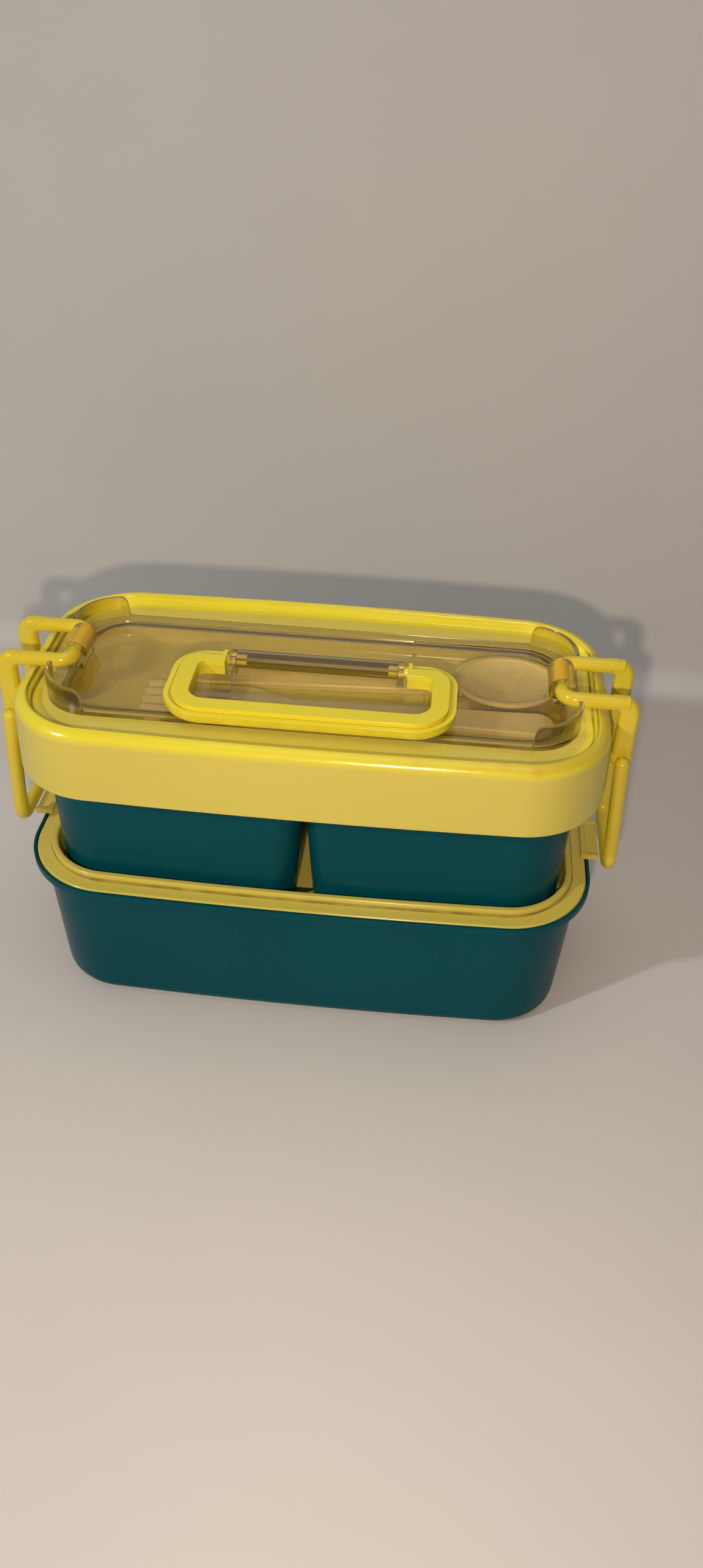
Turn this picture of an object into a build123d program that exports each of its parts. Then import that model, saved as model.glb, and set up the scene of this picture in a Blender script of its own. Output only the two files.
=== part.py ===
from build123d import *
import math
import os

# Two-tier lunch box: a wide lower box with a ring-shaped lid, an upper tray with two
# compartments, a skirted top lid that holds a fork and a spoon under a clear cover,
# a carry handle on the cover and a bail-and-link latch at each short end.
# Origin: bottom centre. +X along the length, -Y is the front, +Z up. Millimetres.

# ---- Plan of the body (every tier is an inset of this outline) ----
# JOIN is how deep one feature sinks into its neighbour, CUT how far a cutter runs past a face.
BODY_HALF_LENGTH = 92.0
BODY_HALF_DEPTH = 46.4
BODY_CORNER = 27.5
SIDE_BOW = 2.3
MIN_CORNER = 2.0
JOIN = 0.5
CUT = 1.0

# ---- Lower box ----
WALL = 1.8
LOWER_FOOT_INSET = 5.3
LOWER_TOP_INSET = 2.4
FLANGE_BOTTOM = 49.2
FLANGE_SHELF = 50.4
FLANGE_LIP_TOP = 52.2
FLANGE_INSET = -1.0
FLANGE_LIP = 0.95
FLANGE_ROUND = 0.6
FOOT_ROUND = 5.0
FLOOR_ROUND = 3.6
FOOT_RIM_WIDTH = 12.0
FOOT_RIM_HEIGHT = 0.6

# ---- Mid lid (ring with a recessed panel) ----
RING_INSET = 0.25
RING_BOTTOM = 50.5
RING_TOP = 52.4
BEAD_OUTER_INSET = 5.1
BEAD_INNER_INSET = 7.2
BEAD_TOP = 54.6
PLUG_INSET = 6.9
PLUG_BOTTOM = 44.4
PANEL_TOP = 46.0
PANEL_INSET = 8.6
CATCH_REACH = 96.0
CATCH_ROOT = 90.4
CATCH_WIDTH = 19.0
CATCH_BOTTOM = 52.6
CATCH_TOP = 53.7
CATCH_RIB_REACH = 91.9
CATCH_RIB_RISE = 0.8
CATCH_END_RIB = 1.3
RIM_ROUND = 0.7

# ---- Upper tray ----
TRAY_BOTTOM = 46.05
TRAY_SPLIT_TOP = 86.0
TRAY_TOP = 104.4
TRAY_WALL = 1.6
TRAY_FOOT_INSET = 9.4
TRAY_SPLIT_INSET = 8.1
TRAY_TOP_INSET = 7.5
TRAY_GAP_HALF = 2.75
TRAY_GAP_TOP_HALF = 0.3
TRAY_GAP_CORNER = 8.0
TRAY_DIVIDER_TOP = 98.8
TRAY_FLANGE_INSET = 3.7
TRAY_FLANGE_THICKNESS = 2.0
TRAY_FOOT_ROUND = 2.0
TRAY_FLOOR_ROUND = 2.4
TRAY_RIM_FLARE = 0.3

# ---- Top lid ----
LID_BOTTOM = 89.3
LID_TOP = 113.0
LID_FOOT_INSET = 0.4
LID_TOP_INSET = 1.1
LID_WALL = 1.8
LID_EDGE_ROUND = 4.0
LID_CREST_ROUND = 0.9
LEDGE_TOP = 109.6
LEDGE_UNDERSIDE = 107.9
CREASE_INSET = 6.1
CREASE_SLOPE = 18.0
CAVITY_HALF_LENGTH = 78.0
CAVITY_HALF_DEPTH = 27.0
CAVITY_CORNER = 14.0
CAVITY_FLOOR = 102.5
CAVITY_WALL = 1.6
CAVITY_ROUND = 2.5
SCOOP_RADIUS = 13.0
SCOOP_DEPTH = 2.8
RIB_THICKNESS = 1.2
RIB_BOTTOM = 105.2
INNER_RIB_INSET = 7.0
OUTER_RIB_INSET = 2.7
LUG_REACH = 93.3
LUG_WIDTH = 11.0
LUG_BOTTOM = 92.8
LUG_TOP = 102.8
LUG_ROUND = 0.8

# ---- Gaskets ----
SEAL_GAP = 0.1
MID_GASKET_INSET = 4.8
MID_GASKET_BOTTOM = 46.9
MID_GASKET_TOP = 50.4

# ---- Clear cover ----
COVER_HALF_LENGTH = 82.0
COVER_HALF_DEPTH = 29.5
COVER_CORNER = 15.0
COVER_BOTTOM = 109.65
COVER_TOP = 111.0
COVER_WALL = 1.5
COVER_WALL_TOP = 118.0
COVER_WALL_ROUND = 0.5
COVER_RIB_GAP = 0.4
COVER_RIB_THICKNESS = 1.3
COVER_RIB_BOTTOM = 107.9
COVER_WALL_GAP_HALF = 13.4
COVER_DROP_START = 70.5
COVER_DROP_END = 67.0
HOOK_OUTER = 4.2
HOOK_BORE = 2.4
HOOK_HALF_WIDTH = 6.0
HOOK_MOUTH = 3.8
HOOK_MOUTH_DROP = 0.6
HOOK_FOOT_HALF = 2.6

# ---- Carry handle and its pivot ----
HINGE_Y = 1.4
HINGE_Z = 113.8
BARREL_HALF_LENGTH = 27.4
BARREL_FRONT = 3.2
BARREL_BACK = 5.2
BARREL_TOP = 117.2
BARREL_ROUND = 3.6
BARREL_WALL = 1.3
BARREL_END_WALL = 1.9
PIN_RADIUS = 1.25
PIN_CLEARANCE = 0.08
PIN_REACH = 22.4
PIN_SHOULDER_RADIUS = 1.7
PIN_SHOULDER_LENGTH = 0.8
PIN_SEAT_LENGTH = 7.0
HANDLE_HALF_LENGTH = 44.3
HANDLE_FRONT = 32.4
HANDLE_BACK = 3.7
HANDLE_FRONT_CORNER = 13.0
HANDLE_BACK_CORNER = 10.5
HANDLE_WIDTH = 7.7
HANDLE_HALF_THICKNESS = 2.4
HANDLE_END_GAP = 28.6
HANDLE_LIP = 2.3
HANDLE_LIP_DROP = 1.1
HANDLE_GROOVE = 0.7
HANDLE_GROOVE_DEPTH = 1.9
HANDLE_POCKET_START = 29.9
HANDLE_POCKET_END = 36.6
HANDLE_POCKET_FRONT = 0.2
HANDLE_ROUND = 0.7
HANDLE_UNDER_ROUND = 2.0

# ---- Side latches ----
BAIL_PIVOT_X = 76.0
BAIL_Z = 116.3
BAIL_ARM_Y = 10.4
BAIL_BAR_RADIUS = 2.3
BAIL_BEND = 4.2
BAIL_LEG_X = 96.5
BAIL_LEG_WIDTH = 6.2
BAIL_LEG_HALF_DEPTH = 2.15
BAIL_ELBOW_ROUND = 6.0
BAIL_INNER_ROUND = 1.6
BAIL_LEG_ROUND = 1.7
LINK_PIVOT_X = 96.5
LINK_PIVOT_Z = 96.8
BAIL_BOSS_RADIUS = 3.5
LINK_ROD_RADIUS = 2.3
LINK_ROD_Y = 15.2
LINK_FOOT_X = 98.7
LINK_FOOT_Z = 54.7
LINK_BEND = 5.0
LINK_PIN_RADIUS = 1.3
LINK_PIN_BORE = 1.38
LINK_PIN_END_Y = 8.5

# ---- Cutlery ----
CUTLERY_REST_Z = 102.55
SPOON_BOWL_CENTRE = (60.0, 10.0)
SPOON_BOWL_HALF = (17.5, 14.5)
SPOON_BOWL_DEPTH = 5.0
SPOON_THICKNESS = 1.5
SPOON_NECK_OVERLAP = 3.5
SPOON_TAIL = (-42.0, 6.2)
FORK_TIP_X = -54.0
FORK_END_X = 75.0
FORK_Y = -8.6
FORK_HEAD_HALF_WIDTH = 8.2
FORK_HEAD_LENGTH = 46.0
FORK_TINE_LENGTH = 27.0
FORK_SLOT = 2.0
FORK_THICKNESS = 2.0
FORK_TIP_ROUND = 0.9
FORK_SHOULDER_LENGTH = 15.0
CUTLERY_END_HALF_WIDTH = 5.8
CUTLERY_NECK_HALF_WIDTH = 3.2
CUTLERY_ROUND = 0.6
SPOON_HANDLE_THICKNESS = 2.2
FORK_TINES = 4


# ---- Shared shapes ----

def rounded_plan(half_length, half_depth, corner, bow=0.0):
    """Rounded rectangle whose two long sides may bow outward."""
    side = half_depth - bow
    with BuildSketch() as plan:
        with BuildLine():
            if bow > 0:
                ThreePointArc((-half_length, -side), (0, -half_depth), (half_length, -side))
            else:
                Line((-half_length, -side), (half_length, -side))
            Line((half_length, -side), (half_length, side))
            if bow > 0:
                ThreePointArc((half_length, side), (0, half_depth), (-half_length, side))
            else:
                Line((half_length, side), (-half_length, side))
            Line((-half_length, side), (-half_length, -side))
        make_face()
        fillet(plan.vertices(), corner)
    return plan.sketch


def body_plan(inset):
    """The lunch box outline, drawn in by an even inset."""
    corner = max(BODY_CORNER - inset, MIN_CORNER)
    return rounded_plan(BODY_HALF_LENGTH - inset, BODY_HALF_DEPTH - inset, corner, SIDE_BOW)


def drafted(low_plan, low_z, high_plan, high_z):
    """Solid with straight drafted walls between two plans."""
    low = Pos(0, 0, low_z) * low_plan
    high = Pos(0, 0, high_z) * high_plan
    return Solid.make_loft([low.face().outer_wire(), high.face().outer_wire()], ruled=True)


def prism(plan, low_z, high_z):
    """Upright solid on a plan."""
    return extrude(Pos(0, 0, low_z) * plan, high_z - low_z)


def ring(outer_inset, inner_inset, low_z, high_z):
    """Upright ring that follows the body outline."""
    return prism(body_plan(outer_inset), low_z, high_z) - prism(body_plan(inner_inset), low_z, high_z)


def block(x_range, y_range, z_range):
    """Box between limits on each axis."""
    size = [high - low for low, high in (x_range, y_range, z_range)]
    centre = [(high + low) / 2 for low, high in (x_range, y_range, z_range)]
    return Pos(*centre) * Box(*size)


def edges_at(shape, z, tolerance=0.02):
    """Edges that lie flat at one height."""
    return [
        edge for edge in shape.edges()
        if abs(edge.bounding_box().min.Z - z) < tolerance and abs(edge.bounding_box().max.Z - z) < tolerance
    ]


def mirrored_pair(right_solid):
    """A solid at the +X end together with its mirror image at the -X end."""
    return [right_solid, mirror(right_solid, about=Plane.YZ)]


# ---- Lower box ----

def lower_box():
    """Drafted tub with an outward flange and an upright lip around the flange."""
    foot = body_plan(LOWER_FOOT_INSET)
    top = body_plan(LOWER_TOP_INSET)
    tub = drafted(foot, 0, top, FLANGE_SHELF)
    tub = fillet(edges_at(tub, 0), FOOT_ROUND)
    flange = prism(body_plan(FLANGE_INSET), FLANGE_BOTTOM, FLANGE_LIP_TOP)
    flange = fillet(edges_at(flange, FLANGE_BOTTOM), FLANGE_ROUND)
    seat = prism(body_plan(FLANGE_INSET + FLANGE_LIP), FLANGE_SHELF, FLANGE_LIP_TOP + CUT)
    floor_plan = body_plan(LOWER_FOOT_INSET + WALL)
    mouth_plan = body_plan(LOWER_TOP_INSET + WALL)
    inside = drafted(floor_plan, WALL, mouth_plan, FLANGE_SHELF)
    inside = fillet(edges_at(inside, WALL), FLOOR_ROUND)
    foot_recess = prism(body_plan(LOWER_FOOT_INSET + FOOT_RIM_WIDTH), -CUT, FOOT_RIM_HEIGHT)
    return tub + flange - seat - inside - foot_recess


# ---- Mid lid ----

def mid_lid_catch():
    """Plate at a short end that the latch link clips under, with a low rib on three sides."""
    half = CATCH_WIDTH / 2
    rib_heights = (CATCH_BOTTOM, CATCH_TOP + CATCH_RIB_RISE)
    catch = block((CATCH_ROOT, CATCH_REACH), (-half, half), (CATCH_BOTTOM, CATCH_TOP))
    catch = catch + block((CATCH_ROOT, CATCH_RIB_REACH), (-half, half), rib_heights)
    for y_range in ((-half, CATCH_END_RIB - half), (half - CATCH_END_RIB, half)):
        catch = catch + block((CATCH_ROOT, CATCH_REACH), y_range, rib_heights)
    foot_x = (CATCH_ROOT, BODY_HALF_LENGTH - RING_INSET - RIM_ROUND)
    return catch + block(foot_x, (-half, half), (RING_TOP - JOIN, CATCH_BOTTOM + JOIN))


def mid_lid():
    """Flat ring with a raised inner bead and a recessed panel that carries the tray."""
    band = prism(body_plan(RING_INSET), RING_BOTTOM, RING_TOP)
    band = fillet(edges_at(band, RING_TOP), RIM_ROUND)
    bead = prism(body_plan(BEAD_OUTER_INSET), RING_BOTTOM, BEAD_TOP)
    plug = prism(body_plan(PLUG_INSET), PLUG_BOTTOM, RING_BOTTOM + JOIN)
    lid = band + bead + plug
    for catch in mirrored_pair(mid_lid_catch()):
        lid = lid + catch
    recess = drafted(body_plan(PANEL_INSET), PANEL_TOP, body_plan(BEAD_INNER_INSET), BEAD_TOP)
    lid = lid - recess
    return fillet(bead_edges(lid), RIM_ROUND)


def bead_edges(lid):
    """Top edges of the raised bead, without those of the two catches."""
    limit = BODY_HALF_LENGTH - BEAD_OUTER_INSET + JOIN
    return [
        edge for edge in edges_at(lid, BEAD_TOP)
        if max(abs(edge.bounding_box().min.X), abs(edge.bounding_box().max.X)) < limit
    ]


def mid_lid_gasket():
    """Seal band between the plug of the mid lid and the wall of the lower box."""
    inner = PLUG_INSET - SEAL_GAP / 2
    return ring(MID_GASKET_INSET, inner, MID_GASKET_BOTTOM, MID_GASKET_TOP)


# ---- Upper tray ----

def compartment_plan(inset, inner_x, wall=0.0):
    """Plan of the +X compartment: the body outline cut off beside the middle gap."""
    start = inner_x + wall
    length = BODY_HALF_LENGTH - inset - start
    with BuildSketch() as plan:
        add(body_plan(inset))
        with Locations((start + length / 2, 0)):
            Rectangle(length, 2 * BODY_HALF_DEPTH, mode=Mode.INTERSECT)
        fillet(plan.vertices().group_by(Axis.X)[0], TRAY_GAP_CORNER - wall)
    return plan.sketch


def tray_inset_at(z):
    """Inset of the tray's outer wall at a height."""
    share = (z - TRAY_BOTTOM) / (TRAY_SPLIT_TOP - TRAY_BOTTOM)
    return TRAY_FOOT_INSET + share * (TRAY_SPLIT_INSET - TRAY_FOOT_INSET)


def tray_compartment():
    """Outer shape of one compartment; its inner wall leans towards the gap as it rises."""
    foot = compartment_plan(TRAY_FOOT_INSET, TRAY_GAP_HALF)
    head = compartment_plan(TRAY_SPLIT_INSET, TRAY_GAP_TOP_HALF)
    shape = drafted(foot, TRAY_BOTTOM, head, TRAY_SPLIT_TOP)
    return fillet(edges_at(shape, TRAY_BOTTOM), TRAY_FOOT_ROUND)


def tray_hollow():
    """Inside of one compartment, from its floor up to the rim."""
    floor_z = TRAY_BOTTOM + TRAY_WALL
    foot = compartment_plan(tray_inset_at(floor_z) + TRAY_WALL, TRAY_GAP_HALF, TRAY_WALL)
    split = compartment_plan(TRAY_SPLIT_INSET + TRAY_WALL, 0.0, TRAY_WALL)
    head = compartment_plan(TRAY_TOP_INSET + TRAY_WALL, 0.0, TRAY_WALL)
    lower = fillet(edges_at(drafted(foot, floor_z, split, TRAY_SPLIT_TOP), floor_z), TRAY_FLOOR_ROUND)
    return lower + drafted(split, TRAY_SPLIT_TOP, head, TRAY_TOP)


def upper_tray():
    """One-piece tray: two compartments joined above a tapering gap, with a rim flange."""
    joined = drafted(body_plan(TRAY_SPLIT_INSET), TRAY_SPLIT_TOP, body_plan(TRAY_TOP_INSET), TRAY_TOP)
    tray = joined + prism(body_plan(TRAY_FLANGE_INSET), TRAY_TOP - TRAY_FLANGE_THICKNESS, TRAY_TOP)
    for compartment in mirrored_pair(tray_compartment()):
        tray = tray + compartment
    for hollow in mirrored_pair(tray_hollow()):
        tray = tray - hollow
    rim_plan = body_plan(TRAY_TOP_INSET + TRAY_WALL)
    divider_plan = body_plan(TRAY_TOP_INSET + TRAY_WALL + TRAY_RIM_FLARE)
    return tray - drafted(divider_plan, TRAY_DIVIDER_TOP, rim_plan, TRAY_TOP)


# ---- Top lid ----

def scoop_ball(side, wall=0.0):
    """Ball that presses a shallow finger scoop into one end of the cutlery cavity."""
    radius = (SCOOP_RADIUS ** 2 + SCOOP_DEPTH ** 2) / (2 * SCOOP_DEPTH)
    centre_z = CAVITY_FLOOR - SCOOP_DEPTH + radius
    return Pos(side * CAVITY_HALF_LENGTH, 0, centre_z) * Sphere(radius + wall)


def cutlery_cavity():
    """Space for the cutlery, open to the ledge, with a finger scoop at each end."""
    plan = rounded_plan(CAVITY_HALF_LENGTH, CAVITY_HALF_DEPTH, CAVITY_CORNER)
    cavity = prism(plan, CAVITY_FLOOR, LEDGE_TOP + CUT)
    cavity = fillet(edges_at(cavity, CAVITY_FLOOR), CAVITY_ROUND)
    well = prism(plan, CAVITY_FLOOR - SCOOP_DEPTH, CAVITY_FLOOR + CAVITY_ROUND + JOIN)
    for side in (-1, 1):
        cavity = cavity + (well & scoop_ball(side))
    return cavity


def cutlery_tub():
    """Outer shape of the moulded tub that hangs under the ledge."""
    plan = rounded_plan(
        CAVITY_HALF_LENGTH + CAVITY_WALL, CAVITY_HALF_DEPTH + CAVITY_WALL, CAVITY_CORNER + CAVITY_WALL
    )
    tub = prism(plan, CAVITY_FLOOR - CAVITY_WALL, LEDGE_UNDERSIDE + JOIN)
    well = prism(plan, CAVITY_FLOOR - SCOOP_DEPTH - CAVITY_WALL, CAVITY_FLOOR)
    for side in (-1, 1):
        tub = tub + (well & scoop_ball(side, CAVITY_WALL))
    return tub


def top_lid():
    """Skirted lid with a rounded rim, a sunken ledge for the cover and a cutlery cavity."""
    shell = drafted(body_plan(LID_FOOT_INSET), LID_BOTTOM, body_plan(LID_TOP_INSET), LID_TOP)
    shell = fillet(edges_at(shell, LID_TOP), LID_EDGE_ROUND)
    recess = extrude(
        Pos(0, 0, LEDGE_TOP) * body_plan(CREASE_INSET), LID_TOP - LEDGE_TOP + CUT, taper=-CREASE_SLOPE
    )
    shell = shell - recess
    shell = fillet(edges_at(shell, LID_TOP), LID_CREST_ROUND)
    hollow = drafted(
        body_plan(LID_FOOT_INSET + LID_WALL), LID_BOTTOM, body_plan(LID_TOP_INSET + LID_WALL), LEDGE_UNDERSIDE
    )
    shell = shell - hollow
    ribs = ring(INNER_RIB_INSET, INNER_RIB_INSET + RIB_THICKNESS, RIB_BOTTOM, LEDGE_UNDERSIDE + JOIN)
    ribs = ribs + ring(OUTER_RIB_INSET, OUTER_RIB_INSET + RIB_THICKNESS, RIB_BOTTOM, LEDGE_UNDERSIDE + JOIN)
    lid = shell + ribs + cutlery_tub() - cutlery_cavity()
    for lug in mirrored_pair(lid_lug()):
        lid = lid + lug
    return lid


def lid_lug():
    """Small lug on the short end of the skirt, between the legs of the bail."""
    root = BODY_HALF_LENGTH - LID_TOP_INSET - LID_WALL + JOIN
    half = LUG_WIDTH / 2
    lug = block((root, LUG_REACH), (-half, half), (LUG_BOTTOM, LUG_TOP))
    return fillet(lug.edges().group_by(Axis.X)[-1], LUG_ROUND)


def top_lid_gasket():
    """Seal ring held between the two ribs under the ledge; the tray's flange meets it."""
    outer = OUTER_RIB_INSET + RIB_THICKNESS + SEAL_GAP
    inner = INNER_RIB_INSET - SEAL_GAP
    return ring(outer, inner, TRAY_TOP + SEAL_GAP / 2, LEDGE_UNDERSIDE)


# ---- Clear cover ----

def cover_plan(inset=0.0):
    """Outline of the cover plate, drawn in by an inset."""
    return rounded_plan(COVER_HALF_LENGTH - inset, COVER_HALF_DEPTH - inset, COVER_CORNER - inset)


def cover_wall_profile():
    """Side view of the corner walls: full height at the ends, rounded down to the plate."""
    far = COVER_HALF_LENGTH + CUT
    base = COVER_TOP - JOIN
    with BuildSketch(Plane.XZ) as profile:
        with BuildLine():
            Spline(
                (COVER_DROP_END, base), (COVER_DROP_START, COVER_WALL_TOP), tangents=[(0.2, 1), (1, 0)]
            )
            Line((COVER_DROP_START, COVER_WALL_TOP), (far, COVER_WALL_TOP))
            Line((far, COVER_WALL_TOP), (far, base))
            Line((far, base), (COVER_DROP_END, base))
        make_face()
    return extrude(profile.sketch, COVER_HALF_DEPTH + CUT, both=True)


def cover_corner_walls():
    """Upright walls around the corners, left open at each short end for the bail."""
    low = COVER_TOP - JOIN
    band = prism(cover_plan(), low, COVER_WALL_TOP) - prism(cover_plan(COVER_WALL), low, COVER_WALL_TOP)
    gate = block(
        (COVER_DROP_START, COVER_HALF_LENGTH + CUT), (-COVER_WALL_GAP_HALF, COVER_WALL_GAP_HALF),
        (low, COVER_WALL_TOP + CUT)
    )
    walls = (band & cover_wall_profile()) - gate
    return fillet(edges_at(walls, COVER_WALL_TOP), COVER_WALL_ROUND)


def cover_rib():
    """Locating rib under the plate that drops just inside the mouth of the cutlery well."""
    outer = rounded_plan(
        CAVITY_HALF_LENGTH - COVER_RIB_GAP, CAVITY_HALF_DEPTH - COVER_RIB_GAP, CAVITY_CORNER - COVER_RIB_GAP
    )
    inset = COVER_RIB_GAP + COVER_RIB_THICKNESS
    inner = rounded_plan(CAVITY_HALF_LENGTH - inset, CAVITY_HALF_DEPTH - inset, CAVITY_CORNER - inset)
    return prism(outer - inner, COVER_RIB_BOTTOM, COVER_BOTTOM + JOIN)


def cover_hook():
    """Barrel-shaped hook that holds the crossbar of the bail, with its mouth outboard."""
    barrel = Pos(BAIL_PIVOT_X, 0, BAIL_Z) * Rot(90, 0, 0) * Cylinder(HOOK_OUTER, 2 * HOOK_HALF_WIDTH)
    foot = block(
        (BAIL_PIVOT_X - HOOK_FOOT_HALF, BAIL_PIVOT_X + HOOK_FOOT_HALF), (-HOOK_HALF_WIDTH, HOOK_HALF_WIDTH),
        (COVER_TOP - JOIN, BAIL_Z - HOOK_BORE)
    )
    return barrel + foot


def cover_hook_bore():
    """Bore and snap-in mouth of the hook."""
    half = HOOK_HALF_WIDTH + CUT
    bore = Pos(BAIL_PIVOT_X, 0, BAIL_Z) * Rot(90, 0, 0) * Cylinder(HOOK_BORE, 2 * half)
    mouth_z = BAIL_Z - HOOK_MOUTH_DROP
    mouth = block(
        (BAIL_PIVOT_X, BAIL_PIVOT_X + HOOK_OUTER + CUT), (-half, half),
        (mouth_z - HOOK_MOUTH / 2, mouth_z + HOOK_MOUTH / 2)
    )
    return bore + mouth


def barrel_section(inset=0.0):
    """D-shaped section of the handle housing: upright in front, rounded at the back."""
    front = -BARREL_FRONT + inset
    back = BARREL_BACK - inset
    top = BARREL_TOP - inset
    with BuildSketch(Plane.YZ) as section:
        with BuildLine():
            Polyline((front, COVER_BOTTOM), (front, top), (back, top), (back, COVER_BOTTOM), close=True)
        make_face()
        fillet(section.vertices().group_by(Axis.Y)[-1].sort_by(Axis.X)[-1:], BARREL_ROUND - inset)
    return section.sketch


def handle_housing():
    """Clear housing across the middle of the cover, solid outside."""
    return extrude(barrel_section(), BARREL_HALF_LENGTH, both=True)


def handle_housing_hollow():
    """Hollow of the housing, open underneath, and the pin holes in its end walls."""
    hollow = extrude(barrel_section(BARREL_WALL), BARREL_HALF_LENGTH - BARREL_END_WALL, both=True)
    bore_length = 2 * (BARREL_HALF_LENGTH + CUT)
    bore = Pos(0, HINGE_Y, HINGE_Z) * Rot(0, 90, 0) * Cylinder(PIN_RADIUS + PIN_CLEARANCE, bore_length)
    return hollow + bore


def clear_cover():
    """Flat clear plate with corner walls, two hooks and the central handle housing."""
    plate = prism(cover_plan(), COVER_BOTTOM, COVER_TOP)
    cover = plate + handle_housing() + cover_rib()
    for walls in mirrored_pair(cover_corner_walls()):
        cover = cover + walls
    for hook in mirrored_pair(cover_hook()):
        cover = cover + hook
    cover = cover - handle_housing_hollow()
    for bore in mirrored_pair(cover_hook_bore()):
        cover = cover - bore
    return cover


# ---- Carry handle ----

def handle_plan(inset=0.0):
    """Loop outline of the handle seen from above, drawn in by an inset."""
    half = HANDLE_HALF_LENGTH - inset
    front = -HANDLE_FRONT + inset
    back = HANDLE_BACK - inset
    with BuildSketch() as plan:
        with BuildLine():
            Polyline((-half, front), (half, front), (half, back), (-half, back), close=True)
        make_face()
        fillet(plan.vertices().group_by(Axis.Y)[0], max(HANDLE_FRONT_CORNER - inset, MIN_CORNER))
        fillet(plan.vertices().group_by(Axis.Y)[-1], max(HANDLE_BACK_CORNER - inset, MIN_CORNER))
    return plan.sketch


def carry_handle():
    """Stepped U-shaped handle: a raised inner bar inside a lower outer lip, with end blocks."""
    low = HINGE_Z - HANDLE_HALF_THICKNESS
    high = HINGE_Z + HANDLE_HALF_THICKNESS
    past = (low - CUT, high + CUT)
    loop = prism(handle_plan(), low, high)
    loop = fillet(edges_at(loop, high), HANDLE_ROUND)
    loop = fillet(edges_at(loop, low), HANDLE_UNDER_ROUND)
    loop = loop - prism(handle_plan(HANDLE_WIDTH), *past)
    loop = loop - block((-HANDLE_END_GAP, HANDLE_END_GAP), (-HANDLE_WIDTH, HANDLE_BACK + CUT), past)
    inner_bar = handle_plan(HANDLE_LIP)
    step = prism(handle_plan() - inner_bar, high - HANDLE_LIP_DROP, high + CUT)
    groove_plan = handle_plan(HANDLE_LIP - HANDLE_GROOVE) - inner_bar
    groove = prism(groove_plan, high - HANDLE_GROOVE_DEPTH, high + CUT)
    end_wall = block((-HANDLE_POCKET_START, HANDLE_POCKET_START), (0, HANDLE_BACK), past)
    loop = loop - (step - end_wall) - (groove - end_wall)
    for pocket in mirrored_pair(handle_pocket()):
        loop = loop - pocket
    for seat in mirrored_pair(handle_pin()):
        loop = loop - seat
    return loop


def handle_pocket():
    """Wider stretch of the groove over the pin in an end block."""
    top = HINGE_Z + HANDLE_HALF_THICKNESS
    back = HANDLE_BACK - HANDLE_LIP + HANDLE_GROOVE
    heights = (top - HANDLE_GROOVE_DEPTH, top + CUT)
    return block((HANDLE_POCKET_START, HANDLE_POCKET_END), (HANDLE_POCKET_FRONT, back), heights)


def handle_pin():
    """Stepped pin that is pressed into an end block and turns in the clear housing."""
    stem_length = HANDLE_END_GAP + PIN_SEAT_LENGTH - PIN_REACH
    stem_x = PIN_REACH + stem_length / 2
    shoulder_x = HANDLE_END_GAP - PIN_SHOULDER_LENGTH / 2
    stem = Cylinder(PIN_RADIUS, stem_length)
    shoulder = Cylinder(PIN_SHOULDER_RADIUS, PIN_SHOULDER_LENGTH)
    stem = Pos(stem_x, HINGE_Y, HINGE_Z) * Rot(0, 90, 0) * stem
    return stem + Pos(shoulder_x, HINGE_Y, HINGE_Z) * Rot(0, 90, 0) * shoulder


# ---- Side latches ----

def bail_arms():
    """Crossbar and the two round arms, one bent bar in a level plane."""
    far = BAIL_LEG_X - JOIN
    with BuildLine() as path:
        FilletPolyline(
            (far, -BAIL_ARM_Y, BAIL_Z), (BAIL_PIVOT_X, -BAIL_ARM_Y, BAIL_Z),
            (BAIL_PIVOT_X, BAIL_ARM_Y, BAIL_Z), (far, BAIL_ARM_Y, BAIL_Z), radius=BAIL_BEND
        )
    section = Plane(origin=(far, -BAIL_ARM_Y, BAIL_Z), z_dir=(-1, 0, 0)) * Circle(BAIL_BAR_RADIUS)
    return sweep(section, path=path.line)


def bail_leg():
    """Leg at +Y with soft edges, a rounded elbow above and a pivot boss below."""
    outer = BAIL_LEG_X + BAIL_LEG_WIDTH / 2
    inner = BAIL_LEG_X - BAIL_LEG_WIDTH / 2
    top = BAIL_Z + BAIL_BAR_RADIUS
    bottom = BAIL_Z - BAIL_BAR_RADIUS
    start = inner - BAIL_INNER_ROUND - CUT
    with BuildSketch(Plane.XZ) as side:
        with BuildLine():
            Polyline(
                (start, bottom), (start, top), (outer, top), (outer, LINK_PIVOT_Z), (inner, LINK_PIVOT_Z),
                (inner, bottom), close=True
            )
        make_face()
        fillet(side.vertices().group_by(Axis.Y)[-1].sort_by(Axis.X)[-1:], BAIL_ELBOW_ROUND)
        fillet(side.vertices().sort_by_distance((inner, bottom, 0))[:1], BAIL_INNER_ROUND)
        with Locations((LINK_PIVOT_X, LINK_PIVOT_Z)):
            Circle(BAIL_BOSS_RADIUS)
    leg = extrude(side.sketch, BAIL_LEG_HALF_DEPTH, both=True)
    faces = leg.faces().filter_by(Axis.Y)
    leg = fillet([edge for face in faces for edge in face.edges()], BAIL_LEG_ROUND)
    eye_length = 2 * (BAIL_LEG_HALF_DEPTH + CUT)
    eye = Pos(LINK_PIVOT_X, 0, LINK_PIVOT_Z) * Rot(90, 0, 0) * Cylinder(LINK_PIN_BORE, eye_length)
    return Pos(0, BAIL_ARM_Y, 0) * (leg - eye)


def right_bail():
    """Bail of the +X latch: crossbar, two arms and two legs."""
    leg = bail_leg()
    return bail_arms() + leg + mirror(leg, about=Plane.XZ)


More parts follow.
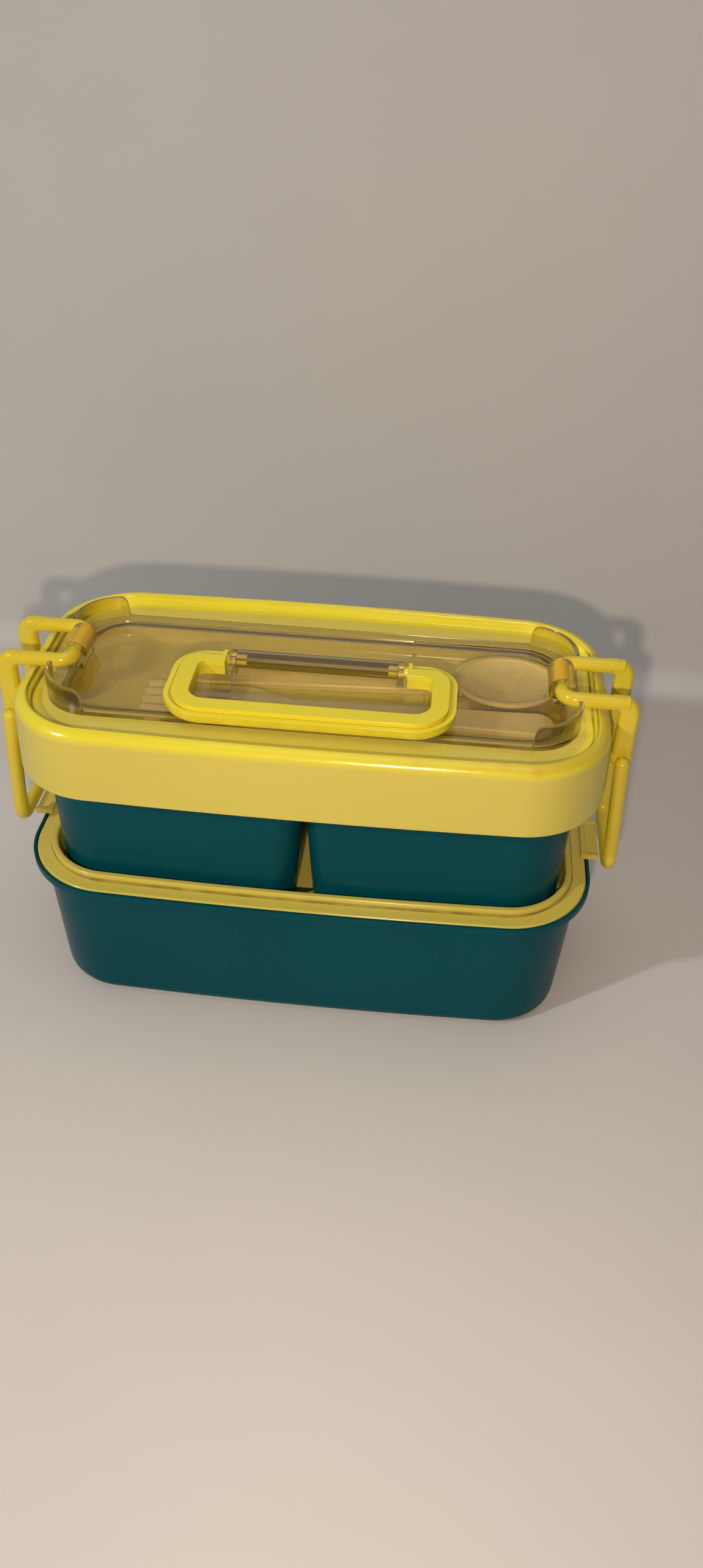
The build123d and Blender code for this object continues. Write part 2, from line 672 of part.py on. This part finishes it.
def right_link():
    """Link of the +X latch: two rods joined by a crossbar, with a pivot pin on each rod."""
    top = (LINK_PIVOT_X, LINK_ROD_Y, LINK_PIVOT_Z)
    foot = (LINK_FOOT_X, LINK_ROD_Y, LINK_FOOT_Z)
    other_top = (LINK_PIVOT_X, -LINK_ROD_Y, LINK_PIVOT_Z)
    other_foot = (LINK_FOOT_X, -LINK_ROD_Y, LINK_FOOT_Z)
    with BuildLine() as path:
        FilletPolyline(top, foot, other_foot, other_top, radius=LINK_BEND)
    down = (LINK_FOOT_X - LINK_PIVOT_X, 0, LINK_FOOT_Z - LINK_PIVOT_Z)
    link = sweep(Plane(origin=top, z_dir=down) * Circle(LINK_ROD_RADIUS), path=path.line)
    pin = Rot(90, 0, 0) * Cylinder(LINK_PIN_RADIUS, LINK_ROD_Y - LINK_PIN_END_Y)
    pin_y = (LINK_ROD_Y + LINK_PIN_END_Y) / 2
    for side in (-1, 1):
        link = link + Pos(LINK_PIVOT_X, side * LINK_ROD_Y, LINK_PIVOT_Z) * Sphere(LINK_ROD_RADIUS)
        link = link + Pos(LINK_PIVOT_X, side * pin_y, LINK_PIVOT_Z) * pin
    return link


# ---- Cutlery ----

def cutlery_handle(neck, tail, thickness):
    """Flat handle between two plan points, wider and rounded at its tail."""
    run = (tail - neck).normalized()
    side = Vector(-run.Y, run.X)
    neck_side = side * CUTLERY_NECK_HALF_WIDTH
    tail_side = side * CUTLERY_END_HALF_WIDTH
    with BuildSketch() as plan:
        with BuildLine():
            Line(neck + neck_side, tail + tail_side)
            ThreePointArc(tail + tail_side, tail + run * CUTLERY_END_HALF_WIDTH, tail - tail_side)
            Line(tail - tail_side, neck - neck_side)
            Line(neck - neck_side, neck + neck_side)
        make_face()
    top = CUTLERY_REST_Z + thickness
    return fillet(edges_at(prism(plan.sketch, CUTLERY_REST_Z, top), top), CUTLERY_ROUND)


def oval_dish(half_length, half_width, depth):
    """Lower half of an egg-shaped ellipsoid, its rim at z = 0."""
    ball = scale(Sphere(1), by=(half_length, half_width, depth))
    return ball & block((-half_length, half_length), (-half_width, half_width), (-depth, 0))


def spoon():
    """Shallow oval bowl on a flat handle that widens to its end."""
    bowl_x, bowl_y = SPOON_BOWL_CENTRE
    half_length, half_width = SPOON_BOWL_HALF
    tail_x, tail_y = SPOON_TAIL
    lean = math.degrees(math.atan2(bowl_y - tail_y, bowl_x - tail_x))
    rim_z = CUTLERY_REST_Z + SPOON_BOWL_DEPTH
    place = Pos(bowl_x, bowl_y, rim_z) * Rot(0, 0, lean)
    outside = place * oval_dish(half_length, half_width, SPOON_BOWL_DEPTH)
    inside = place * oval_dish(
        half_length - SPOON_THICKNESS, half_width - SPOON_THICKNESS, SPOON_BOWL_DEPTH - SPOON_THICKNESS
    )
    run = Vector(tail_x - bowl_x, tail_y - bowl_y).normalized()
    neck = Vector(bowl_x, bowl_y) + run * (half_length - SPOON_NECK_OVERLAP)
    end = Vector(tail_x, tail_y) - run * CUTLERY_END_HALF_WIDTH
    handle = cutlery_handle(neck, end, SPOON_HANDLE_THICKNESS)
    return outside + handle - inside


def fork_head_plan():
    """Outline of the fork's head, straight at the tines and narrowing to the neck."""
    low = FORK_Y - FORK_HEAD_HALF_WIDTH
    high = FORK_Y + FORK_HEAD_HALF_WIDTH
    shoulder_x = FORK_TIP_X + FORK_HEAD_LENGTH
    turn_x = shoulder_x - FORK_SHOULDER_LENGTH
    neck_low = FORK_Y - CUTLERY_NECK_HALF_WIDTH
    neck_high = FORK_Y + CUTLERY_NECK_HALF_WIDTH
    with BuildSketch() as plan:
        with BuildLine():
            Line((FORK_TIP_X, low), (turn_x, low))
            Spline((turn_x, low), (shoulder_x, neck_low), tangents=[(1, 0), (1, 0.2)])
            Line((shoulder_x, neck_low), (shoulder_x, neck_high))
            Spline((shoulder_x, neck_high), (turn_x, high), tangents=[(-1, 0.2), (-1, 0)])
            Line((turn_x, high), (FORK_TIP_X, high))
            Line((FORK_TIP_X, high), (FORK_TIP_X, low))
        make_face()
    return plan.sketch


def fork_slot(index):
    """Round-ended slot between two neighbouring tines."""
    pitch = (2 * FORK_HEAD_HALF_WIDTH + FORK_SLOT) / FORK_TINES
    half = FORK_SLOT / 2
    slot_y = FORK_Y - FORK_HEAD_HALF_WIDTH - half + index * pitch
    end_x = FORK_TIP_X + FORK_TINE_LENGTH - half
    heights = (CUTLERY_REST_Z - CUT, CUTLERY_REST_Z + FORK_THICKNESS + CUT)
    straight = block((FORK_TIP_X - CUT, end_x), (slot_y - half, slot_y + half), heights)
    return straight + Pos(end_x, slot_y, CUTLERY_REST_Z) * Cylinder(half, 4 * FORK_THICKNESS)


def fork():
    """Slotted head with rounded tine tips and a flat handle that widens to its end."""
    head = prism(fork_head_plan(), CUTLERY_REST_Z, CUTLERY_REST_Z + FORK_THICKNESS)
    for index in range(1, FORK_TINES):
        head = head - fork_slot(index)
    tip_corners = head.edges().filter_by(Axis.Z).group_by(Axis.X)[0]
    neck = Vector(FORK_TIP_X + FORK_HEAD_LENGTH - CUT, FORK_Y)
    tail = Vector(FORK_END_X - CUTLERY_END_HALF_WIDTH, FORK_Y)
    return fillet(tip_corners, FORK_TIP_ROUND) + cutlery_handle(neck, tail, FORK_THICKNESS)


def minus_x_copy(right_part):
    """The -X counterpart of a piece at the +X end."""
    return mirror(right_part, about=Plane.YZ)


PARTS = {
    "lower_box": lower_box,
    "mid_lid": mid_lid,
    "mid_lid_gasket": mid_lid_gasket,
    "upper_tray": upper_tray,
    "top_lid": top_lid,
    "top_lid_gasket": top_lid_gasket,
    "clear_cover": clear_cover,
    "carry_handle": carry_handle,
    "right_handle_pin": handle_pin,
    "left_handle_pin": lambda: minus_x_copy(handle_pin()),
    "right_bail": right_bail,
    "left_bail": lambda: minus_x_copy(right_bail()),
    "right_link": right_link,
    "left_link": lambda: minus_x_copy(right_link()),
    "spoon": spoon,
    "fork": fork,
}

os.makedirs("parts", exist_ok=True)
for part_name, make_part in PARTS.items():
    export_step(make_part(), f"parts/{part_name}.step")
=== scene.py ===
import math

import bmesh
import bpy
from mathutils import Matrix, Vector


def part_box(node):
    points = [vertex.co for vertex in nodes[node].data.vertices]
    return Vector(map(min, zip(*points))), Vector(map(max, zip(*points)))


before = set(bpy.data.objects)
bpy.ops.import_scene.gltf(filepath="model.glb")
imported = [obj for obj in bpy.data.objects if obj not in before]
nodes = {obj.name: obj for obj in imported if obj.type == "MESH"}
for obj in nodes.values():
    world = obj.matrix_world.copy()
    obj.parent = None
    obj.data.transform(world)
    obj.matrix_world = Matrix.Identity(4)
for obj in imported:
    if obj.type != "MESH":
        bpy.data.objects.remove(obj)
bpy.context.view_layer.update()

MM = 0.001

# ---------------------------------------------------------------- camera
# Focal length in rows of an image that is IMAGE_HEIGHT rows high
FOCAL = 1941.53
IMAGE_HEIGHT = 2576.0
SENSOR_HEIGHT = 36.0
CLIP_START = 0.01
CAM_YAW, CAM_PITCH, CAM_ROLL = 0.084935, 0.661915, -0.029692
CAM_POS = Vector((38.53, -312.81, 313.53)) * MM


def make_camera():
    """Camera placed by its yaw, pitch and roll."""
    cy, sy = math.cos(CAM_YAW), math.sin(CAM_YAW)
    cp, sp = math.cos(CAM_PITCH), math.sin(CAM_PITCH)
    fwd = Vector((-sy * cp, cy * cp, -sp))
    right = Vector((cy, sy, 0.0))
    down = fwd.cross(right)
    c, s = math.cos(CAM_ROLL), math.sin(CAM_ROLL)
    cam_x = right * c + down * s
    cam_down = right * -s + down * c
    rot = Matrix((cam_x, -cam_down, -fwd)).transposed()
    data = bpy.data.cameras.new("camera")
    data.sensor_fit = "VERTICAL"
    data.sensor_height = SENSOR_HEIGHT
    data.lens = FOCAL * SENSOR_HEIGHT / IMAGE_HEIGHT
    data.clip_start = CLIP_START
    cam = bpy.data.objects.new("camera", data)
    cam.matrix_world = Matrix.Translation(CAM_POS) @ rot.to_4x4()
    bpy.context.scene.collection.objects.link(cam)
    bpy.context.scene.camera = cam


make_camera()


# ---------------------------------------------------------------- node helpers
# Places of the colour sockets on a Mix node, which share their names with the other types
MIX_FIRST, MIX_SECOND, MIX_RESULT = 6, 7, 2


class Tree:
    """Short-hand for building one material's nodes."""

    def __init__(self, name):
        self.mat = bpy.data.materials.new(name)
        self.mat.use_nodes = True
        self.nt = self.mat.node_tree
        self.nt.nodes.clear()
        self.out = self.nt.nodes.new("ShaderNodeOutputMaterial")
        self.obj = self.add("ShaderNodeTexCoord").outputs["Object"]

    def add(self, kind, **settings):
        node = self.nt.nodes.new(kind)
        for key, value in settings.items():
            setattr(node, key, value)
        return node

    def put(self, socket, value):
        if isinstance(value, bpy.types.NodeSocket):
            self.nt.links.new(value, socket)
        else:
            socket.default_value = value

    def math(self, op, a, b=None):
        node = self.add("ShaderNodeMath", operation=op)
        for socket, value in zip(node.inputs, (a, b)):
            if value is not None:
                self.put(socket, value)
        return node.outputs[0]

    def distance(self, point):
        node = self.add("ShaderNodeVectorMath", operation="DISTANCE")
        self.put(node.inputs[0], self.obj)
        self.put(node.inputs[1], point)
        return node.outputs["Value"]

    def length(self, a, b):
        squares = self.math("ADD", self.math("MULTIPLY", a, a), self.math("MULTIPLY", b, b))
        return self.math("SQRT", squares)

    def noise(self, scale, detail=3.0, rough=0.55, vector=None, distort=0.0):
        node = self.add("ShaderNodeTexNoise")
        self.put(node.inputs["Vector"], vector or self.obj)
        self.put(node.inputs["Scale"], scale)
        self.put(node.inputs["Detail"], detail)
        self.put(node.inputs["Roughness"], rough)
        self.put(node.inputs["Distortion"], distort)
        return node.outputs["Fac"]

    def ramp(self, value, low, high, to_low=0.0, to_high=1.0):
        node = self.add("ShaderNodeMapRange", clamp=True)
        node.interpolation_type = "SMOOTHSTEP"
        self.put(node.inputs["Value"], value)
        for key, v in (("From Min", low), ("From Max", high), ("To Min", to_low), ("To Max", to_high)):
            self.put(node.inputs[key], v)
        return node.outputs[0]

    def mix(self, factor, a, b):
        node = self.add("ShaderNodeMix", data_type="RGBA")
        self.put(node.inputs["Factor"], factor)
        self.put(node.inputs[MIX_FIRST], a)
        self.put(node.inputs[MIX_SECOND], b)
        return node.outputs[MIX_RESULT]

    def xyz(self):
        node = self.add("ShaderNodeSeparateXYZ")
        self.put(node.inputs[0], self.obj)
        return node.outputs[0], node.outputs[1], node.outputs[2]

    def bump(self, height, strength, distance, normal=None):
        node = self.add("ShaderNodeBump")
        self.put(node.inputs["Height"], height)
        self.put(node.inputs["Strength"], strength)
        self.put(node.inputs["Distance"], distance)
        if normal is not None:
            self.put(node.inputs["Normal"], normal)
        return node.outputs[0]

    def shader(self, **inputs):
        node = self.add("ShaderNodeBsdfPrincipled")
        for key, value in inputs.items():
            self.put(node.inputs[key.replace("_", " ")], value)
        return node

    def finish(self, shader):
        self.nt.links.new(shader.outputs[0], self.out.inputs["Surface"])
        return self.mat


def rgb(r, g, b):
    return (r, g, b, 1.0)


# Outline of the lunch box seen from above; its long sides bow out by OUTLINE_BOW
OUTLINE_HALF_X = 92.0 * MM
OUTLINE_HALF_Y = 46.4 * MM
OUTLINE_CORNER = 27.5 * MM
OUTLINE_BOW = 2.3 * MM


def outline_inset(t):
    """How far inside the lunch box outline a point lies, in metres, seen from above."""
    x, y, _ = t.xyz()
    along = t.math("DIVIDE", x, OUTLINE_HALF_X)
    bulge = t.math("MULTIPLY", t.math("MULTIPLY", along, along), OUTLINE_BOW)
    qx = t.math("SUBTRACT", t.math("ABSOLUTE", x), OUTLINE_HALF_X - OUTLINE_CORNER)
    bowed_y = t.math("ADD", t.math("ABSOLUTE", y), bulge)
    qy = t.math("SUBTRACT", bowed_y, OUTLINE_HALF_Y - OUTLINE_CORNER)
    px = t.math("MAXIMUM", qx, 0.0)
    py = t.math("MAXIMUM", qy, 0.0)
    outside = t.length(px, py)
    inside = t.math("MINIMUM", t.math("MAXIMUM", qx, qy), 0.0)
    return t.math("SUBTRACT", OUTLINE_CORNER, t.math("ADD", outside, inside))


def band(t, value, centre, half_width):
    """1 at the centre of a band, fading to 0 at its edges."""
    away = t.math("ABSOLUTE", t.math("SUBTRACT", value, centre))
    return t.ramp(away, half_width, half_width * 0.3)


def spot(t, centre, radius):
    """Soft round spot about a point."""
    return t.ramp(t.distance(tuple(v * MM for v in centre)), radius * MM, radius * 0.25 * MM)


def soft_edges(t, radius):
    """Normal that rounds off the sharp edges of a moulding."""
    node = t.add("ShaderNodeBevel", samples=6)
    node.inputs["Radius"].default_value = radius
    return node.outputs[0]


def moulded_bump(t, strength=0.12, edge=0.0004):
    """Soft edges, the faint waviness of a moulded wall and fine grain."""
    low = t.bump(t.noise(55.0, 2.0), strength, 0.0008, soft_edges(t, edge))
    return t.bump(t.noise(900.0, 2.0), strength * 0.4, 0.00003, low)


def scratches(t, scale=32.0):
    """Thin random scratches as a 0..1 mask."""
    node = t.add("ShaderNodeMapping")
    t.put(node.inputs["Vector"], t.obj)
    node.inputs["Rotation"].default_value = (0.3, 0.5, 0.9)
    node.inputs["Scale"].default_value = (1.0, 14.0, 6.0)
    return t.ramp(t.noise(scale, 4.0, 0.7, node.outputs[0], 0.4), 0.66, 0.72)


PLASTIC_IOR = 1.49
# Dark brown for painted shade in the top lid's rim crease, and for the darker band at the foot of the mid
# lid's bead.
CREASE_DARK = rgb(0.16, 0.085, 0.02)
STAIN = rgb(0.70, 0.38, 0.03)
SPECK = rgb(0.45, 0.22, 0.04)
WORN = rgb(0.45, 0.25, 0.05)
HANDLE_LOW_DARK = rgb(0.42, 0.25, 0.03)
LATCH_DIRT = rgb(0.42, 0.25, 0.05)
GATE_BROWN = rgb(0.35, 0.22, 0.05)
# The skirt and rim yellows below are lit and shaded copies of one yellow. The skirt's paler, bluer copy
# paints the sheen on front faces. The rim's brighter copy paints the light falling on the top faces and the
# ledge.
SKIRT_YELLOW = (0.74, 0.61, 0.105)
LIT_RIM_YELLOW = (0.90, 0.775, 0.045)
HANDLE_YELLOW = (0.97, 0.82, 0.040)
LATCH_YELLOW = (0.80, 0.62, 0.035)
# Each food stain: centre and radius in millimetres, then strength
STAINS = (
    ((68.5, -42.6, 112.0), 2.6, 0.50),
    ((34.5, -43.6, 112.2), 2.0, 0.25),
    ((59.0, -42.3, 112.2), 2.6, 0.30),
)
GATE_MARK = (-30.3, -27.2, 114.3)
GATE_MARK_RADIUS = 1.1
LID_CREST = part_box("top_lid")[1][2]


def yellow_base(t, base):
    """Yellow plastic with a slow colour drift, faint specks and a few scratches."""
    warm = rgb(base[0] * 0.95, base[1] * 0.90, base[2] * 0.80)
    colour = t.mix(t.ramp(t.noise(14.0, 2.0), 0.35, 0.75, 0.0, 0.5), rgb(*base), warm)
    specks = t.ramp(t.noise(330.0, 1.0), 0.79, 0.84)
    return t.mix(t.math("MULTIPLY", specks, 0.30), colour, SPECK)


def yellow_finish(t, colour):
    """Semi-gloss finish shared by every yellow moulding."""
    rough = t.ramp(t.noise(70.0, 3.0), 0.3, 0.8, 0.17, 0.28)
    rough = t.math("ADD", rough, t.math("MULTIPLY", scratches(t), 0.10))
    s = t.shader(Base_Color=colour, Roughness=rough, IOR=PLASTIC_IOR, Normal=moulded_bump(t))
    return t.finish(s)


def smudged(t, mask, strength, scale=120.0):
    """A mask broken up by noise, for dirt and painted shade that lie unevenly."""
    patches = t.ramp(t.noise(scale, 3.0), 0.25, 0.65, 0.45, 1.0)
    return t.math("MULTIPLY", t.math("MULTIPLY", mask, strength), patches)


def top_lid_yellow():
    """Paler skirt, a brighter and deeper copy of the yellow on the crest and ledge as painted light from
    above, painted shade in the crease and a few food stains on the rim.
    """
    t = Tree("yellow_top_lid")
    x, y, z = t.xyz()
    inset = outline_inset(t)
    # The crest and ledge masks pick the faces that get the brighter rim yellow, as painted light from above
    # on the top faces.
    crest = t.ramp(z, LID_CREST - 4.0 * MM, LID_CREST - 1.2 * MM)
    ledge = t.math("MULTIPLY", t.ramp(inset, 3.0 * MM, 4.5 * MM), t.ramp(inset, 9.0 * MM, 7.5 * MM))
    lit_top = t.math("MAXIMUM", crest, ledge)
    colour = t.mix(lit_top, yellow_base(t, SKIRT_YELLOW), yellow_base(t, LIT_RIM_YELLOW))
    # Painted shade: a dark line along the rim crease, at the crest edge and at the foot of the inner slope.
    # It fades towards the back, where the slope faces the lamps.
    near_crest = t.ramp(z, LID_CREST - 1.4 * MM, LID_CREST - 0.8 * MM)
    edge = t.math("MULTIPLY", band(t, inset, 5.2 * MM, 0.55 * MM), near_crest)
    foot = t.math("MULTIPLY", band(t, inset, 6.1 * MM, 0.45 * MM), t.ramp(z, 109.3 * MM, 109.6 * MM))
    crease_shade = t.math("MAXIMUM", edge, foot)
    crease_shade = t.math("MULTIPLY", crease_shade, t.ramp(y, 34.0 * MM, 22.0 * MM, 0.12, 1.0))
    colour = t.mix(smudged(t, crease_shade, 0.80), colour, CREASE_DARK)
    upper = t.ramp(z, LID_CREST - 3.1 * MM, LID_CREST - 1.1 * MM)
    rim = t.math("MULTIPLY", band(t, inset, 3.0 * MM, 3.0 * MM), upper)
    worn = t.math("MULTIPLY", rim, t.ramp(x, -10.0 * MM, 85.0 * MM))
    colour = t.mix(smudged(t, worn, 0.40, 45.0), colour, WORN)
    for centre, radius, strength in STAINS:
        colour = t.mix(smudged(t, spot(t, centre, radius), strength, 260.0), colour, STAIN)
    return yellow_finish(t, colour)


def mid_lid_yellow():
    """Ring lid, darker where the raised bead meets the flat ring."""
    t = Tree("yellow_mid_lid")
    inset = outline_inset(t)
    foot = t.math("MULTIPLY", band(t, inset, 5.0 * MM, 0.7 * MM), t.ramp(t.xyz()[2], 53.4 * MM, 52.8 * MM))
    colour = t.mix(smudged(t, foot, 0.7), yellow_base(t, SKIRT_YELLOW), CREASE_DARK)
    return yellow_finish(t, colour)


def handle_yellow():
    """Carry handle, darker low down in its groove, with a small gate mark."""
    t = Tree("yellow_handle")
    low = t.ramp(t.xyz()[2], 114.9 * MM, 114.4 * MM)
    colour = t.mix(smudged(t, low, 0.22, 200.0), yellow_base(t, HANDLE_YELLOW), HANDLE_LOW_DARK)
    gate = t.math("MULTIPLY", spot(t, GATE_MARK, GATE_MARK_RADIUS), 0.6)
    colour = t.mix(gate, colour, GATE_BROWN)
    return yellow_finish(t, colour)


def latch_yellow():
    """Bails, links and pins."""
    t = Tree("yellow_latch")
    dirt = t.ramp(t.noise(90.0, 3.0), 0.55, 0.75, 0.0, 0.16)
    return yellow_finish(t, t.mix(dirt, yellow_base(t, LATCH_YELLOW), LATCH_DIRT))


TEAL_DEEP = rgb(0.0005, 0.068, 0.090)
TEAL_LIGHT = rgb(0.001, 0.080, 0.103)
DUST = rgb(0.16, 0.24, 0.25)


def teal():
    """Dark teal semi-gloss tubs with a little dust."""
    t = Tree("teal_tub")
    colour = t.mix(t.ramp(t.noise(12.0, 2.0), 0.3, 0.8), TEAL_DEEP, TEAL_LIGHT)
    dust = t.ramp(t.noise(700.0, 0.0), 0.83, 0.87)
    colour = t.mix(t.math("MULTIPLY", dust, 0.10), colour, DUST)
    rough = t.ramp(t.noise(60.0, 3.0), 0.3, 0.8, 0.24, 0.34)
    s = t.shader(
        Base_Color=colour, Roughness=rough, IOR=PLASTIC_IOR, Specular_IOR_Level=0.08,
        Normal=moulded_bump(t, 0.05)
    )
    return t.finish(s)


HOOK_CENTRE_X = 76.0 * MM
HOOK_CENTRE_Z = 116.3 * MM
HOOK_REACH = 4.5 * MM
HOOK_HALF_WIDTH = 6.2 * MM
SMOKE = rgb(0.62, 0.585, 0.52)
SMOKE_SHADOW = rgb(0.845, 0.82, 0.77)
# Yellow painted into the clear barrels in place of the yellow crossbar seen through them. It is a painted
# view of the part behind, not the plastic's own colour.
PAINTED_CROSSBAR_YELLOW = rgb(0.86, 0.70, 0.12)
CLEAR_IOR = 1.45
# Rays that have passed this many surfaces go straight through
DEEP_RAY = 4.5


def crossbar_show_through(t):
    """1 inside the two hook barrels, where the yellow crossbar seen through the clear plastic is painted
    into its colour.
    """
    x, y, z = t.xyz()
    dx = t.math("SUBTRACT", t.math("ABSOLUTE", x), HOOK_CENTRE_X)
    dz = t.math("SUBTRACT", z, HOOK_CENTRE_Z)
    away = t.length(dx, dz)
    barrel = t.ramp(away, HOOK_REACH, HOOK_REACH * 0.93)
    between = t.math("LESS_THAN", t.math("ABSOLUTE", y), HOOK_HALF_WIDTH)
    return t.math("MULTIPLY", barrel, between)


def clear_smoke():
    """Clear, faintly smoky plastic that lets lamps through."""
    t = Tree("clear_cover")
    # Inside the barrels the colour turns yellow, as a painted see-through view of the crossbar behind the
    # clear plastic.
    colour = t.mix(crossbar_show_through(t), SMOKE, PAINTED_CROSSBAR_YELLOW)
    rough = t.ramp(t.noise(70.0, 4.0), 0.45, 0.75, 0.015, 0.05)
    rough = t.math("ADD", rough, t.math("MULTIPLY", scratches(t), 0.08))
    s = t.shader(
        Base_Color=colour, Roughness=rough, IOR=CLEAR_IOR, Transmission_Weight=1.0,
        Normal=moulded_bump(t, 0.05, 0.0005)
    )
    through = t.add("ShaderNodeBsdfTransparent")
    through.inputs[0].default_value = SMOKE_SHADOW
    path = t.add("ShaderNodeLightPath")
    deep = t.math("GREATER_THAN", path.outputs["Ray Depth"], DEEP_RAY)
    pick = t.add("ShaderNodeMixShader")
    t.nt.links.new(t.math("MAXIMUM", path.outputs["Is Shadow Ray"], deep), pick.inputs[0])
    t.nt.links.new(s.outputs[0], pick.inputs[1])
    t.nt.links.new(through.outputs[0], pick.inputs[2])
    return t.finish(pick)


SEAL_LIGHT = rgb(0.78, 0.78, 0.75)
SEAL_DARK = rgb(0.70, 0.69, 0.64)
CREAM_LIGHT = rgb(0.87, 0.70, 0.25)
CREAM_DARK = rgb(0.83, 0.65, 0.22)


def silicone():
    """Soft white seal."""
    t = Tree("silicone_seal")
    colour = t.mix(t.ramp(t.noise(40.0), 0.3, 0.8, 0.0, 0.6), SEAL_LIGHT, SEAL_DARK)
    rough = t.ramp(t.noise(90.0), 0.3, 0.8, 0.5, 0.62)
    s = t.shader(Base_Color=colour, Roughness=rough, Normal=moulded_bump(t, 0.2))
    return t.finish(s)


def cutlery():
    """Pale yellowish-beige plastic."""
    t = Tree("cream_cutlery")
    colour = t.mix(t.ramp(t.noise(30.0), 0.3, 0.8, 0.0, 0.6), CREAM_LIGHT, CREAM_DARK)
    rough = t.ramp(t.noise(80.0), 0.3, 0.8, 0.22, 0.34)
    s = t.shader(Base_Color=colour, Roughness=rough, IOR=PLASTIC_IOR, Normal=moulded_bump(t))
    return t.finish(s)


FINISHES = (
    (top_lid_yellow, ("top_lid",)),
    (mid_lid_yellow, ("mid_lid",)),
    (handle_yellow, ("carry_handle",)),
    (latch_yellow, ("right_handle_pin", "left_handle_pin", "right_bail", "left_bail", "right_link",
                    "left_link")),
    (teal, ("lower_box", "upper_tray")),
    (clear_smoke, ("clear_cover",)),
    (silicone, ("mid_lid_gasket", "top_lid_gasket")),
    (cutlery, ("spoon", "fork")),
)
for make_material, node_names in FINISHES:
    material = make_material()
    for node_name in node_names:
        mesh = nodes[node_name].data
        mesh.materials.clear()
        mesh.materials.append(material)


# ---------------------------------------------------------------- floor and light
PAPER_DARK = rgb(0.66, 0.625, 0.605)
PAPER_LIGHT = rgb(0.71, 0.675, 0.65)
FLOOR_FRONT = -1.2
HALF_WIDTH = 1.6
WALL_Y = 0.186
WALL_HEIGHT = 0.9
WALL_LEAN = 0.02
CORNER_RADIUS = 0.012
CORNER_STEPS = 9
# Each lamp: name, place, target, disk size, watts, colour
LAMPS = (
    ("lamp_front", (0.028, -0.36, 0.294), (0, 0, 0.06), 0.012, 0.77, (1.0, 0.81, 0.62)),
    ("lamp_left", (-0.756, -0.63, 0.69), (0, 0, 0.05), 0.05, 3.9, (0.94, 1.0, 0.99)),
    ("lamp_above", (0.1, -0.1, 1.5), (0, 0, 0.05), 1.0, 3.3, (1.0, 0.96, 0.90)),
)
WORLD_COLOUR = rgb(0.75, 0.74, 0.74)
WORLD_STRENGTH = 0.105


def paper_material():
    """Matt pale paper for the floor and the wall."""
    t = Tree("backdrop_paper")
    colour = t.mix(t.ramp(t.noise(3.0, 4.0), 0.3, 0.7), PAPER_DARK, PAPER_LIGHT)
    s = t.shader(Base_Color=colour, Roughness=0.75, Normal=t.bump(t.noise(9.0, 3.0), 0.25, 0.004))
    return t.finish(s)


def make_backdrop():
    """Floor that turns up into a wall behind the object."""
    corner_y = WALL_Y - CORNER_RADIUS
    profile = [(FLOOR_FRONT, 0.0), (corner_y, 0.0)]
    for i in range(1, CORNER_STEPS):
        a = i / CORNER_STEPS * math.pi / 2
        profile.append((corner_y + CORNER_RADIUS * math.sin(a), CORNER_RADIUS - CORNER_RADIUS * math.cos(a)))
    profile += [(WALL_Y, CORNER_RADIUS), (WALL_Y + WALL_LEAN, WALL_HEIGHT)]
    bm = bmesh.new()
    rows = [[bm.verts.new((x, y, z)) for x in (-HALF_WIDTH, HALF_WIDTH)] for y, z in profile]
    for a, b in zip(rows, rows[1:]):
        bm.faces.new((a[0], a[1], b[1], b[0]))
    mesh = bpy.data.meshes.new("backdrop")
    bm.to_mesh(mesh)
    bm.free()
    for p in mesh.polygons:
        p.use_smooth = True
    mesh.materials.append(paper_material())
    obj = bpy.data.objects.new("backdrop", mesh)
    bpy.context.scene.collection.objects.link(obj)


def area_light(name, pos, target, size, power, colour):
    """Round area lamp aimed at a target."""
    data = bpy.data.lights.new(name, "AREA")
    data.shape = "DISK"
    data.size = size
    data.energy = power
    data.color = colour
    obj = bpy.data.objects.new(name, data)
    obj.location = pos
    obj.rotation_euler = (Vector(target) - Vector(pos)).to_track_quat("-Z", "Y").to_euler()
    bpy.context.scene.collection.objects.link(obj)


make_backdrop()
for lamp in LAMPS:
    area_light(*lamp)
world = bpy.data.worlds.new("soft_world")
world.use_nodes = True
world.node_tree.nodes["Background"].inputs[0].default_value = WORLD_COLOUR
world.node_tree.nodes["Background"].inputs[1].default_value = WORLD_STRENGTH
bpy.context.scene.world = world
bpy.context.scene.view_settings.view_transform = "Standard"
